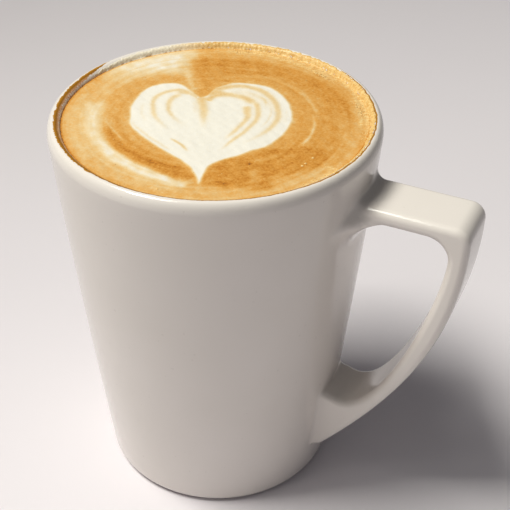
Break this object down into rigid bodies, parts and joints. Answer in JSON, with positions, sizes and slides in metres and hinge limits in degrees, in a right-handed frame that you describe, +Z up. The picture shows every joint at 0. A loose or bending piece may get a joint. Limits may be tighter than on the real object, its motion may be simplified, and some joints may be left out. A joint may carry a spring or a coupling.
{
  "type": "latte in a mug",
  "caption": "Latte with poured heart art, filled almost to the brim of a tall conical porcelain mug with a strap handle.",
  "frame": {"origin": "centre of the mug's base, on the surface it stands on", "axes": "+Z up the mug's axis, +X from the mug's axis towards the handle"},
  "size_m": [0.1142, 0.0862, 0.11],
  "materials": {
    "porcelain": "gloss",
    "foam": "satin"
  },
  "bodies": {
    "root": {"mug": "porcelain", "latte": "foam"}
  },
  "joints": []
}
